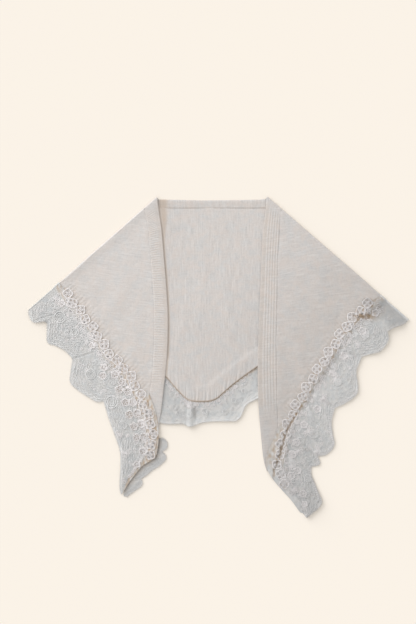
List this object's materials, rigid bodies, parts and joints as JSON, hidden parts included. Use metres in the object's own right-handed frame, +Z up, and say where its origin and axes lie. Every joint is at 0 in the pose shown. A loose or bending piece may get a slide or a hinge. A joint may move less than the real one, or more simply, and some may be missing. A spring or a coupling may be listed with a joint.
{
  "type": "triangle scarf",
  "caption": "Fine knit triangle scarf with a ribbed band and a wide scalloped lace border, laid flat with both ends folded forward over the back.",
  "frame": {"origin": "centre of the bounding box in plan, on the surface that the scarf lies on", "axes": "+X across the scarf from its left fold to its right fold as seen from above, +Y towards the neck band, +Z up out of the surface"},
  "size_m": [0.95, 0.8012, 0.0086],
  "materials": {
    "ivory_knit": "matte, slightly fuzzy fine knit",
    "ivory_rib": "matte ribbed knit",
    "white_lace": "matte embroidered net with a slight sheen on its cords"
  },
  "bodies": {
    "root": {"back_panel": "ivory_knit", "left_front": "ivory_knit", "right_front": "ivory_knit", "back_neck_band": "ivory_rib", "left_front_band": "ivory_rib", "right_front_band": "ivory_rib", "back_lace": "white_lace", "left_front_lace": "white_lace", "right_front_lace": "white_lace", "left_tip_lace": "white_lace"}
  },
  "joints": []
}
